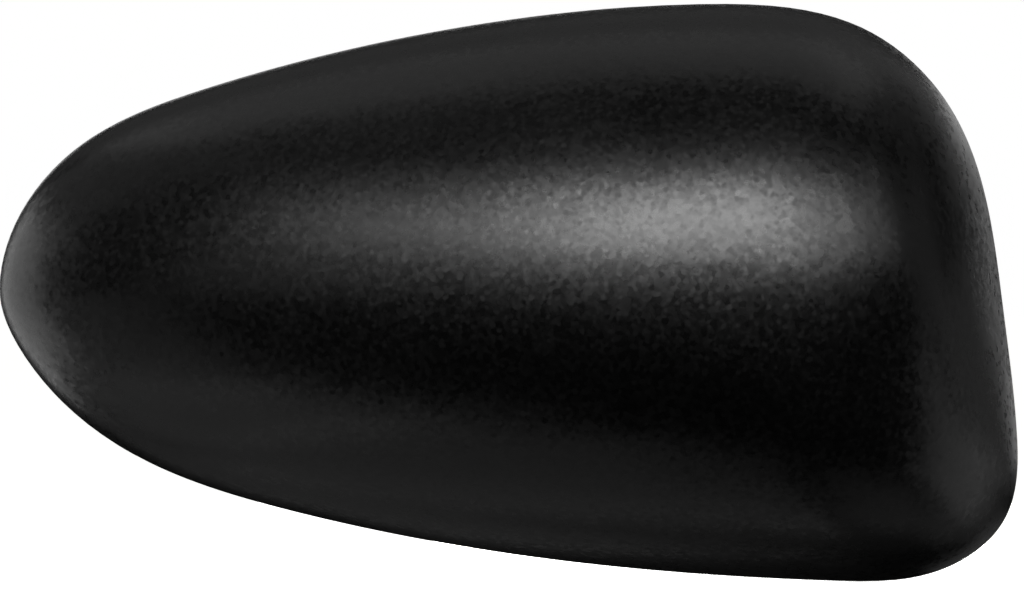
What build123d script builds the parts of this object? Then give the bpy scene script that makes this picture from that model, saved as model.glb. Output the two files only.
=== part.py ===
from build123d import *
import os
from bisect import bisect
from math import atan2, cos, pi, sin, sqrt

# The cover of a car's wing mirror: one thin moulded cap with a tapered nose and a straight door side.
# It stands as fitted: +Z up, the front towards -Y, the door side at +X. The origin is the middle of the
# outline in the rim plane, where the cap meets the mirror housing.

# Overall size in millimetres
LENGTH = 216.0  # nose to door side
HEIGHT = 122.5  # lowest to highest point of the rim
DEPTH = 58.0  # rim plane to crown
WALL = 2.5

# Rim outline seen from the front, clockwise, as shares of half the length and half the height
OUTLINE_SHARES = [
    (-1.000, 0.040),  # nose
    (-0.956, 0.284),
    (-0.855, 0.492),
    (-0.608, 0.700),
    (-0.070, 0.927),
    (0.380, 1.000),  # top
    (0.710, 0.903),
    (0.858, 0.664),
    (0.970, -0.054),  # door side
    (0.996, -0.461),
    (0.972, -0.790),
    (0.850, -0.961),
    (0.640, -1.000),  # bottom
    (-0.439, -0.752),
    (-0.783, -0.513),
    (-0.958, -0.202),
]

# Skin: a fan of curves from the crown to the rim, each with a handle at both ends
CROWN_SHARES = (0.35, -0.03)  # place of the crown, in shares like the outline
CROWN_HANDLE_SHARES = (0.46, 0.54)  # reach of the crown's handles along and up
NOSE_FULLNESS = 0.50  # share of the depth that the rim's handle takes at the nose
DOOR_FULLNESS = 0.72  # the same at the door side, which turns at a tighter shoulder
NOSE_LEAN = 2.0  # how far the rim's handle leans in at the nose
DOOR_LEAN = 11.0

# Lip of the rim, which slips into the housing
LIP_HEIGHT = 2.5
LIP_INSET = 1.4

# Stiffening ribs across and along the inside
RIB_THICKNESS = 1.2
RIB_HEIGHT = 4.5
RIB_PITCH = 42.0
RIB_STATIONS = (-2, -1, 0)  # cross ribs, counted in pitches from the crown
RIB_STOP = 14.0  # the ribs end this far in front of the rim plane

# Snap hooks, placed by their share of the way round the outline from the nose
HOOK_PLACES = (0.14, 0.30, 0.50, 0.68, 0.86)
HOOK_INSET = 5.6  # outline to the outer face of the tongue
HOOK_WIDTH = 11.0
HOOK_THICKNESS = 1.8
HOOK_GRIP = 4.0  # rim plane to the barb
HOOK_BARB = 1.5
HOOK_REACH = 8.0  # rim plane to the tip
GUSSET_STOP = 7.0  # the web behind each tongue ends this far in front of the rim plane

# Locating pegs on finned bosses, placed in the same way
PEG_PLACES = (0.0, 0.44)
PEG_INSET = 20.0
PEG_DIAMETER = 6.0
PEG_REACH = 5.0  # rim plane to the tip
PEG_CHAMFER = 0.8
BOSS_DIAMETER = 9.0
BOSS_STOP = 8.0  # the boss and its fins end this far in front of the rim plane
FIN_SPAN = 17.0

# How the skin is drawn before it is trimmed
SKIN_STEPS = 25
SKIN_SPAN = 1.06  # the drawn skin runs past the rim by this factor
SQUARING = 0.8  # how nearly the corners of the drawn skin keep to the rim
RAYS = 1440
NUDGE = 1e-3
OVERRUN = 1.0  # how far a cut runs past the faces that it opens


def mix(start, end, share):
    return start + (end - start) * share


def direction(offset):
    return atan2(offset.Z, offset.X)


def draw_outline():
    """Closed rim curve in the rim plane, fitted exactly to the length and the height."""
    points = [(along * LENGTH / 2, 0, up * HEIGHT / 2) for along, up in OUTLINE_SHARES]
    rough = Spline(*points, periodic=True).bounding_box()
    middle = rough.center()
    fitted = [
        ((x - middle.X) * LENGTH / rough.size.X, 0, (z - middle.Z) * HEIGHT / rough.size.Z)
        for x, _, z in points
    ]
    return Spline(*fitted, periodic=True)


outline = draw_outline()
crown_foot = Vector(CROWN_SHARES[0] * LENGTH / 2, 0, CROWN_SHARES[1] * HEIGHT / 2)
crown = crown_foot - Vector(0, DEPTH, 0)
handle_along = CROWN_HANDLE_SHARES[0] * LENGTH / 2
handle_up = CROWN_HANDLE_SHARES[1] * HEIGHT / 2

rim_points = [outline.position_at(index / RAYS) for index in range(RAYS)]
rim_points.sort(key=lambda point: direction(point - crown_foot))
rim_directions = [direction(point - crown_foot) for point in rim_points]


def rim_towards(angle):
    """Point of the rim that lies in this direction from the foot of the crown."""
    after = bisect(rim_directions, angle) % RAYS
    before = after - 1
    gap = (rim_directions[after] - rim_directions[before]) % (2 * pi)
    share = ((angle - rim_directions[before]) % (2 * pi)) / gap
    return mix(rim_points[before], rim_points[after], share)


def skin_point(u, v):
    """Point of the outer skin: the crown at (0, 0), and the rim where the way from the crown is 1."""
    turn = atan2(v, u)
    way = sqrt(u * u + v * v - SQUARING * u * u * v * v)
    left = 1 - way
    spread = Vector(handle_along * cos(turn), 0, handle_up * sin(turn))
    rim = rim_towards(atan2(HEIGHT * sin(turn), LENGTH * cos(turn)))
    door = ((1 + cos(turn)) / 2) ** 2
    lean = (crown_foot - rim).normalized() * mix(NOSE_LEAN, DOOR_LEAN, door)
    rise = Vector(0, -DEPTH * mix(NOSE_FULLNESS, DOOR_FULLNESS, door), 0)
    near_crown = crown * left**3 + (crown + spread) * (3 * left**2 * way)
    near_rim = (rim + lean + rise) * (3 * left * way**2) + rim * way**3
    return near_crown + near_rim


def inset_point(u, v, inset):
    """Point of the skin moved inward by the inset, along the skin's normal."""
    along = skin_point(u + NUDGE, v) - skin_point(u - NUDGE, v)
    up = skin_point(u, v + NUDGE) - skin_point(u, v - NUDGE)
    return skin_point(u, v) + up.cross(along).normalized() * inset


def skin(inset):
    """Skin at this inset, lofted through a row of sections that run past the rim at both ends."""
    shares = [index / (SKIN_STEPS - 1) for index in range(SKIN_STEPS)]
    steps = [mix(-SKIN_SPAN, SKIN_SPAN, share) for share in shares]
    sections = []
    for u in steps:
        points = [inset_point(u, v, inset) for v in steps]
        sections.append(Wire([Edge.make_spline(points, parameters=shares)]))
    return Shell.make_loft(sections).faces()[0]


def core(inset, back):
    """What lies behind the skin at this inset, closed by a flat face at the given depth."""
    parts = skin(inset).split(Plane((0, back, 0), z_dir=(0, 1, 0)), keep=Keep.ALL)
    bowl = max(parts, key=lambda face: face.area)
    return Solid(Shell([bowl, Face(bowl.outer_wire())]))


def rim_place(share):
    """Place on the rim: x along the rim, y inward, z towards the housing."""
    return Plane(outline.position_at(share), x_dir=outline.tangent_at(share), z_dir=(0, 1, 0)).location


def draw_cap():
    """Thin wall with a flat seat at the rim plane and a lip inside it."""
    return core(0, 0) + core(LIP_INSET, LIP_HEIGHT) - core(WALL, LIP_HEIGHT + OVERRUN)


def draw_ribs():
    """Cross ribs and one long rib, all following the skin."""
    plates = Pos(0, 0, crown.Z) * Box(LENGTH, 2 * DEPTH, RIB_THICKNESS)
    for station in RIB_STATIONS:
        plates += Pos(crown.X + station * RIB_PITCH, 0, 0) * Box(RIB_THICKNESS, 2 * DEPTH, HEIGHT)
    return plates & (core(WALL / 2, -RIB_STOP) - core(WALL + RIB_HEIGHT, -RIB_STOP + OVERRUN))


def draw_hook():
    """Snap hook on its web, drawn at a place on the rim with its root running through the skin."""
    inner = HOOK_INSET + HOOK_THICKNESS
    profile = Polyline(
        (HOOK_INSET, -DEPTH),
        (HOOK_INSET, HOOK_GRIP),
        (HOOK_INSET - HOOK_BARB, HOOK_GRIP),
        (HOOK_INSET - HOOK_BARB, HOOK_GRIP + HOOK_THICKNESS / 2),
        (HOOK_INSET + HOOK_THICKNESS / 2, HOOK_REACH),
        (inner, HOOK_REACH),
        (inner, -DEPTH),
        close=True,
    )
    tongue = extrude(Plane.YZ * make_face(profile), HOOK_WIDTH / 2, both=True)
    web = Pos(0, inner / 2, -(DEPTH + GUSSET_STOP) / 2) * Box(RIB_THICKNESS, inner, DEPTH - GUSSET_STOP)
    return tongue + web


def draw_peg():
    """Peg on a boss with crossed fins, drawn at a place on the rim with its root running through the skin."""
    pin = Pos(0, 0, (PEG_REACH - DEPTH) / 2) * Cylinder(PEG_DIAMETER / 2, PEG_REACH + DEPTH)
    pin = chamfer(pin.faces().sort_by(Axis.Z)[-1].edges(), PEG_CHAMFER)
    boss_height = DEPTH - BOSS_STOP
    boss = Cylinder(BOSS_DIAMETER / 2, boss_height)
    boss += Box(FIN_SPAN, RIB_THICKNESS, boss_height)
    boss += Box(RIB_THICKNESS, FIN_SPAN, boss_height)
    return Pos(0, PEG_INSET, 0) * (pin + Pos(0, 0, -(DEPTH + BOSS_STOP) / 2) * boss)


def draw_fittings():
    """Hooks and pegs, cut off inside the wall that carries them."""
    hook = draw_hook()
    peg = draw_peg()
    fittings = [rim_place(share) * hook for share in HOOK_PLACES]
    fittings += [rim_place(share) * peg for share in PEG_PLACES]
    reach = max(HOOK_REACH, PEG_REACH) + OVERRUN
    room = core(WALL / 2, 0) + Pos(0, reach / 2, 0) * Box(LENGTH, reach, HEIGHT)
    return [fitting & room for fitting in fittings]


cover = draw_cap() + draw_ribs() + draw_fittings()

os.makedirs("parts", exist_ok=True)
export_step(cover, "parts/mirror_cover.step")
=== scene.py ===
from math import cos, pi, radians, sin

import bpy
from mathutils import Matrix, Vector


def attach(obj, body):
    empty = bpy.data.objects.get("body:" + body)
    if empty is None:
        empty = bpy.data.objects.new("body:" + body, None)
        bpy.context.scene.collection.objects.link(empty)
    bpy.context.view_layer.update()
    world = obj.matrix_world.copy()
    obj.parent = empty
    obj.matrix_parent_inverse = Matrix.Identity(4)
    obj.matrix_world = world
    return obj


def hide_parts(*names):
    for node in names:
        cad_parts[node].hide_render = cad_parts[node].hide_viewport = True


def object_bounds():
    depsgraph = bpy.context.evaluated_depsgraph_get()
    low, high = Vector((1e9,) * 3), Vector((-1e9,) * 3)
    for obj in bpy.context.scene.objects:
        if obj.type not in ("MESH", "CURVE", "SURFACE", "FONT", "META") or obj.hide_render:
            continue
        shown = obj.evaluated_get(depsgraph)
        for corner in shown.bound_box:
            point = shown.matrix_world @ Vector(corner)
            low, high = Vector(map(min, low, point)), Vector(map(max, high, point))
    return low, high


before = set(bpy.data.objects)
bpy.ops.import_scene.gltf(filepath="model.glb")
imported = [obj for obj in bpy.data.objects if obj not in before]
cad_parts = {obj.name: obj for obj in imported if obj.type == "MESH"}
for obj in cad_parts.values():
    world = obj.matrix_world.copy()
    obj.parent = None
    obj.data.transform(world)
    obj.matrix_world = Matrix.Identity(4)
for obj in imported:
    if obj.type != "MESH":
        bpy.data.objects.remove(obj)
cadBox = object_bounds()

# The cover of a wing mirror, moulded in black ABS, under soft boxes and in front of plain white

mm = 0.001  # metres in a millimetre
print("frame loaded, box", [list(corner) for corner in cadBox])


def toLinear(hexColour):
    # sRGB hex to the linear colour that the shaders take
    channels = [int(hexColour[i:i + 2], 16) / 255 for i in (1, 3, 5)]
    return [c / 12.92 if c <= 0.04045 else ((c + 0.055) / 1.055) ** 2.4 for c in channels] + [1.0]


def addNode(tree, kind, values=None, links=None, **settings):
    # one node with its settings, its fixed values and what feeds it
    node = tree.nodes.new(kind)
    for name, setting in settings.items():
        setattr(node, name, setting)
    for socket, value in (values or {}).items():
        node.inputs[socket].default_value = value
    for socket, source in (links or {}).items():
        tree.links.new(source, node.inputs[socket])
    return node


def newMaterial(name):
    material = bpy.data.materials.new(name)
    material.use_nodes = True
    material.node_tree.nodes.clear()
    return material, material.node_tree


# Noise that stands for the flow of the melt in the mould
flowNoise = {
    "detail": 3.0,
    "span": (0.3, 0.7),  # values that it mostly stays between
}


def addFlowSheen(tree, place, finish):
    # roughness that drifts slowly over the piece, up and down from the finish's own
    flow = addNode(tree, "ShaderNodeTexNoise",
                   {"Scale": 1 / (finish["flowSize"] * mm), "Detail": flowNoise["detail"]},
                   {"Vector": place})
    lowest, highest = flowNoise["span"]
    drift = finish["flowRoughness"] / 2
    sheen = addNode(tree, "ShaderNodeMapRange",
                    {"From Min": lowest, "From Max": highest,
                     "To Min": finish["roughness"] - drift, "To Max": finish["roughness"] + drift},
                    {"Value": flow.outputs["Fac"]})
    return sheen.outputs[0]


# Moulded black ABS with a spark-eroded grain: deep black, with a broad soft sheen that breaks up into
# fine sparkle. The pebbles are drawn coarser than real ones, so that they show.
coverFinish = {
    "colour": "#020202",
    "roughness": 0.27,
    "ior": 1.5,
    "pebbleSize": 0.98,  # mm between the pebbles of the grain
    "pebbleBlur": 0.9,  # how softly they run into each other
    "pebbleLean": 0.032,  # slope of their tops, which face every way by a little
    "pebbleShine": 0.01,  # how much smoother the shiniest pebbles are
    "pebbleDullness": 0.09,  # how much rougher the dullest are
    "pebbleSpan": (0.2, 0.8),  # random values from which a pebble is the shiniest or the dullest
    "pitSize": 0.5,  # mm between the fine pits
    "pitDepth": 0.006,  # mm
    "pitDetail": 2.0,
    "flowSize": 34.0,  # mm
    "flowRoughness": 0.05,
}


def makeCoverMaterial():
    material, tree = newMaterial("grainedBlackAbs")
    place = addNode(tree, "ShaderNodeTexCoord").outputs["Object"]
    skin = addNode(tree, "ShaderNodeNewGeometry")
    pebbles = addNode(tree, "ShaderNodeTexVoronoi",
                      {"Scale": 1 / (coverFinish["pebbleSize"] * mm),
                       "Smoothness": coverFinish["pebbleBlur"]},
                      {"Vector": place}, feature="SMOOTH_F1")
    # a pebble's random colour runs from 0 to 1, so half is taken off and twice the lean laid on the normal
    lean = addNode(tree, "ShaderNodeVectorMath", {1: [0.5] * 3}, {0: pebbles.outputs["Color"]},
                   operation="SUBTRACT")
    facets = addNode(tree, "ShaderNodeVectorMath", {1: [coverFinish["pebbleLean"] * 2] * 3},
                     {0: lean.outputs[0], 2: skin.outputs["Normal"]}, operation="MULTIPLY_ADD")
    pits = addNode(tree, "ShaderNodeTexNoise",
                   {"Scale": 1 / (coverFinish["pitSize"] * mm), "Detail": coverFinish["pitDetail"]},
                   {"Vector": place})
    bump = addNode(tree, "ShaderNodeBump", {"Distance": coverFinish["pitDepth"] * mm},
                   {"Height": pits.outputs["Fac"], "Normal": facets.outputs[0]})
    # the sheen changes slowly over the skin, and from pebble to pebble
    shiniest, dullest = coverFinish["pebbleSpan"]
    tops = addNode(tree, "ShaderNodeMapRange",
                   {"From Min": shiniest, "From Max": dullest,
                    "To Min": -coverFinish["pebbleShine"], "To Max": coverFinish["pebbleDullness"]},
                   {"Value": pebbles.outputs["Color"]})
    sheen = addNode(tree, "ShaderNodeMath",
                    links={0: addFlowSheen(tree, place, coverFinish), 1: tops.outputs[0]}, operation="ADD")
    shader = addNode(tree, "ShaderNodeBsdfPrincipled",
                     {"Base Color": toLinear(coverFinish["colour"]), "IOR": coverFinish["ior"]},
                     {"Roughness": sheen.outputs[0], "Normal": bump.outputs[0]})
    addNode(tree, "ShaderNodeOutputMaterial", links={"Surface": shader.outputs[0]})
    return material


# The same ABS against the bare core of the mould: greyer and plainer, with cutter lines and ejector marks
insideFinish = {
    "colour": "#222222",
    "roughness": 0.40,
    "ior": 1.5,
    "lineSpacing": 1.4,  # mm between the passes of the cutter that made the core
    "lineDepth": 0.012,  # mm
    "lineWander": 1.5,  # how far the passes stray
    "ribCrossing": (37.8, -1.8),  # mm along X and Z, where the long rib meets a cross rib
    "pinSpacing": 21.0,  # mm between the ejector pins, half the pitch of the ribs
    "pinRadius": 2.4,  # mm
    "pinEdge": 0.3,  # mm
    "pinDepth": 0.08,  # mm
    "flowSize": 22.0,  # mm
    "flowRoughness": 0.12,
}


def makeInsideMaterial():
    material, tree = newMaterial("plainBlackAbs")
    place = addNode(tree, "ShaderNodeTexCoord").outputs["Object"]
    # the pins stood along Y, so their marks lie on a grid over X and Z, between the ribs
    ribX, ribZ = insideFinish["ribCrossing"]
    pinSpacing = insideFinish["pinSpacing"]
    halfStep = pinSpacing / 2
    flat = addNode(tree, "ShaderNodeMapping",
                   {"Location": ((halfStep - ribX) * mm, (halfStep + ribZ) * mm, 0),
                    "Rotation": (radians(90), 0, 0)},
                   {"Vector": place})
    pins = addNode(tree, "ShaderNodeTexVoronoi", {"Scale": 1 / (pinSpacing * mm), "Randomness": 0.0},
                   {"Vector": flat.outputs[0]}, voronoi_dimensions="2D")
    reach = insideFinish["pinRadius"] / pinSpacing
    edge = insideFinish["pinEdge"] / pinSpacing
    sunk = addNode(tree, "ShaderNodeMapRange", {"From Min": reach, "From Max": reach + edge},
                   {"Value": pins.outputs["Distance"]})
    pinBump = addNode(tree, "ShaderNodeBump", {"Distance": insideFinish["pinDepth"] * mm},
                      {"Height": sunk.outputs[0]})
    wavePeriod = pi / 10  # of the wave texture at a scale of 1
    lines = addNode(tree, "ShaderNodeTexWave",
                    {"Scale": wavePeriod / (insideFinish["lineSpacing"] * mm),
                     "Distortion": insideFinish["lineWander"]},
                    {"Vector": place})
    bump = addNode(tree, "ShaderNodeBump", {"Distance": insideFinish["lineDepth"] * mm},
                   {"Height": lines.outputs["Fac"], "Normal": pinBump.outputs[0]})
    shader = addNode(tree, "ShaderNodeBsdfPrincipled",
                     {"Base Color": toLinear(insideFinish["colour"]), "IOR": insideFinish["ior"]},
                     {"Roughness": addFlowSheen(tree, place, insideFinish), "Normal": bump.outputs[0]})
    addNode(tree, "ShaderNodeOutputMaterial", links={"Surface": shader.outputs[0]})
    return material


cover = {
    "node": "mirror_cover",
    "mergeGap": 0.002,  # mm
    "smoothAngle": 35,  # degrees, steeper edges stay sharp
    "insideSlot": 0,
    "skinSlot": 1,
}


def makeCover():
    # a merged copy of the CAD mesh, whose shading runs smoothly over the skin and stays crisp at the rim
    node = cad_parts[cover["node"]]
    bpy.ops.object.select_all(action="DESELECT")
    node.select_set(True)
    bpy.context.view_layer.objects.active = node
    bpy.ops.object.duplicate()
    shell = bpy.context.object
    shell.name = "cover_shell"
    bpy.ops.object.mode_set(mode="EDIT")
    bpy.ops.mesh.select_all(action="SELECT")
    bpy.ops.mesh.remove_doubles(threshold=cover["mergeGap"] * mm)
    bpy.ops.object.mode_set(mode="OBJECT")
    bpy.ops.mesh.customdata_custom_splitnormals_clear()
    bpy.ops.object.shade_smooth_by_angle(angle=radians(cover["smoothAngle"]))
    shell.data.materials.clear()
    shell.data.materials.append(makeInsideMaterial())
    shell.data.materials.append(makeCoverMaterial())
    # the grain covers the outer skin, which runs on from the crown as far as the sharp edge of the rim
    bpy.ops.object.mode_set(mode="EDIT")
    bpy.ops.mesh.select_all(action="DESELECT")
    bpy.ops.object.mode_set(mode="OBJECT")
    for face in shell.data.polygons:
        face.material_index = cover["insideSlot"]
    min(shell.data.polygons, key=lambda face: face.center.y).select = True
    bpy.ops.object.mode_set(mode="EDIT")
    bpy.ops.mesh.faces_select_linked_flat(sharpness=radians(cover["smoothAngle"]))
    shell.active_material_index = cover["skinSlot"]
    bpy.ops.object.material_slot_assign()
    bpy.ops.object.mode_set(mode="OBJECT")
    # the copy drops the marks that it took over from the CAD node
    for key in list(shell.keys()):
        if key.startswith("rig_"):
            del shell[key]
    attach(shell, "root")
    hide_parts(cover["node"])
    print("cover made,", len(shell.data.polygons), "faces")


makeCover()


# White coated table top: pale, without gloss, glowing until it runs into the background
table = {
    "colour": "#f6f6f4",
    "roughness": 0.9,
    "size": 60.0,  # metres
    "glow": 1.1,
}


def makeTable():
    bpy.ops.object.select_all(action="DESELECT")
    bpy.ops.mesh.primitive_plane_add(size=table["size"], location=(0, 0, cadBox[0][2]))
    top = bpy.context.object
    top.name = "table_top"
    material, tree = newMaterial("whiteCoatedTable")
    shader = addNode(tree, "ShaderNodeBsdfPrincipled",
                     {"Base Color": toLinear(table["colour"]), "Roughness": table["roughness"],
                      "Emission Color": toLinear(table["colour"]), "Emission Strength": table["glow"]})
    addNode(tree, "ShaderNodeOutputMaterial", links={"Surface": shader.outputs[0]})
    top.data.materials.append(material)
    # only the camera sees it: the cover mirrors the cards, and those below light it through the table
    top.visible_glossy = False
    top.visible_shadow = False
    top.visible_diffuse = False
    print("table made")


makeTable()


# Soft boxes and bounce cards round the cover: bearing in degrees from the camera towards the door side,
# height in degrees, size in metres, and how bright the lit face is
softBoxes = {
    "keyMiddle": {"bearing": 4, "height": 32, "size": (0.64, 0.44), "brightness": 8.2},
    "keyDoor": {"bearing": 38, "height": 31, "size": (0.50, 0.36), "brightness": 3.1},
    "keyEnd": {"bearing": 66, "height": 29, "size": (0.45, 0.36), "brightness": 1.1},
    "keyNose": {"bearing": -29, "height": 25, "size": (0.45, 0.34), "brightness": 1.55},
    "keyNoseHigh": {"bearing": -24, "height": 46, "size": (0.40, 0.20), "brightness": 0.48},
    "keyNoseLow": {"bearing": -40, "height": 6, "size": (0.45, 0.20), "brightness": 0.29},
    "keyLow": {"bearing": -4, "height": 9, "size": (0.60, 0.14), "brightness": 0.44},
    "keySpill": {"bearing": 5, "height": 30, "size": (1.30, 0.80), "brightness": 0.58},
    "noseFrontCard": {"bearing": -68, "height": -24, "size": (0.50, 0.80), "brightness": 0.2},
    "noseSideCard": {"bearing": -86, "height": 18, "size": (0.40, 0.50), "brightness": 0.17},
    "noseCard": {"bearing": -115, "height": -4, "size": (0.95, 1.05), "brightness": 1.2},
    "noseHighCard": {"bearing": -98, "height": 46, "size": (0.90, 0.55), "brightness": 0.22},
    "noseTopCard": {"bearing": -92, "height": 72, "size": (0.60, 0.25), "brightness": 0.13},
    "lowNoseCard": {"bearing": -78, "height": -50, "size": (0.90, 0.50), "brightness": 0.28},
    "lowBackCard": {"bearing": -148, "height": -45, "size": (0.90, 0.40), "brightness": 0.11},
    "backCard": {"bearing": 176, "height": 6, "size": (0.90, 0.34), "brightness": 1.55},
    "backHighCard": {"bearing": 180, "height": 38, "size": (1.40, 0.40), "brightness": 0.12},
    "topCard": {"bearing": 180, "height": 68, "size": (1.50, 0.60), "brightness": 0.32},
    "underCard": {"bearing": -100, "height": -76, "size": (1.00, 0.60), "brightness": 0.2},
    "underBackCard": {"bearing": 175, "height": -66, "size": (1.20, 0.50), "brightness": 0.022},
    "doorCard": {"bearing": 99, "height": 13, "size": (0.50, 0.50), "brightness": 0.15},
    "doorLowCard": {"bearing": 104, "height": -24, "size": (0.70, 0.60), "brightness": 0.28},
    "doorWideCard": {"bearing": 110, "height": -28, "size": (0.95, 0.90), "brightness": 0.115},
    "doorUnderCard": {"bearing": 98, "height": -66, "size": (0.60, 0.44), "brightness": 0.13},
    "doorHighCard": {"bearing": 130, "height": 43, "size": (0.70, 0.55), "brightness": 0.08},
    "doorMidCard": {"bearing": 142, "height": 18, "size": (0.36, 0.30), "brightness": 0.16},
    "doorBackCard": {"bearing": 126, "height": -2, "size": (0.60, 0.30), "brightness": 0.12},
    "doorCornerCard": {"bearing": 156, "height": -20, "size": (0.34, 0.26), "brightness": 0.12},
}
boxDistance = 1.0  # metres from the middle of the cover
# A lamp that shines into the open back, small enough for the cover to hide it from its own front
hollowLamp = {"distance": 0.45, "size": (0.19, 0.10), "brightness": 36.0}


def addLamp(name, away, distance, size, brightness):
    # a soft box that faces the middle of the cover from this side
    middle = (Vector(cadBox[0]) + Vector(cadBox[1])) / 2
    light = bpy.data.lights.new(name, "AREA")
    light.shape = "RECTANGLE"
    light.size, light.size_y = size
    light.energy = brightness * pi * light.size * light.size_y
    lamp = bpy.data.objects.new(name, light)
    bpy.context.scene.collection.objects.link(lamp)
    lamp.location = middle + away * distance
    lamp.rotation_euler = away.to_track_quat("Z", "Y").to_euler()
    lamp.visible_camera = False


def makeLights():
    for name, box in softBoxes.items():
        bearing = radians(box["bearing"])
        height = radians(box["height"])
        away = Vector((sin(bearing) * cos(height), -cos(bearing) * cos(height), sin(height)))
        addLamp(name, away, boxDistance, box["size"], box["brightness"])
    behind = Vector((0, 1, 0))
    addLamp("hollowLamp", behind, hollowLamp["distance"], hollowLamp["size"], hollowLamp["brightness"])
    print("lights made,", len(softBoxes), "soft boxes and the hollow's lamp")


makeLights()


# White for the camera, and a dim room for everything that the cover mirrors
room = {"backdrop": "#ffffff", "dim": "#040404"}


def makeRoom():
    world = bpy.data.worlds.new("studioRoom")
    bpy.context.scene.world = world
    world.use_nodes = True
    tree = world.node_tree
    tree.nodes.clear()
    path = addNode(tree, "ShaderNodeLightPath")
    backdrop = addNode(tree, "ShaderNodeBackground", {"Color": toLinear(room["backdrop"])})
    dim = addNode(tree, "ShaderNodeBackground", {"Color": toLinear(room["dim"])})
    both = addNode(tree, "ShaderNodeMixShader",
                   links={0: path.outputs["Is Camera Ray"], 1: dim.outputs[0], 2: backdrop.outputs[0]})
    addNode(tree, "ShaderNodeOutputWorld", links={"Surface": both.outputs[0]})
    bpy.context.scene.view_settings.view_transform = "Standard"
    print("room made")


makeRoom()


# Long lens square on to the front, framed as the photograph is
view = {
    "imageWidth": 1024,
    "imageHeight": 591,
    "rimMiddle": (508.6, 292.6),  # pixel where the origin of the frame falls
    "pixel": 0.2121,  # mm that a pixel covers in the rim plane
    "distance": 2.6,  # metres in front of the rim plane
    "sensor": 36.0,  # mm
    "farthest": 50,  # metres that it sees
}


def makeCamera():
    pixel = view["pixel"] * mm
    across, down = view["rimMiddle"]
    lens = bpy.data.cameras.new("frontCamera")
    lens.sensor_width = view["sensor"]
    lens.lens = view["sensor"] * view["distance"] / (view["imageWidth"] * pixel)
    lens.clip_end = view["farthest"]
    camera = bpy.data.objects.new("frontCamera", lens)
    bpy.context.scene.collection.objects.link(camera)
    right = (view["imageWidth"] / 2 - across) * pixel
    up = (down - view["imageHeight"] / 2) * pixel
    camera.location = (right, -view["distance"], up)
    camera.rotation_euler = (radians(90), 0, 0)
    bpy.context.scene.camera = camera
    print("camera set")


makeCamera()
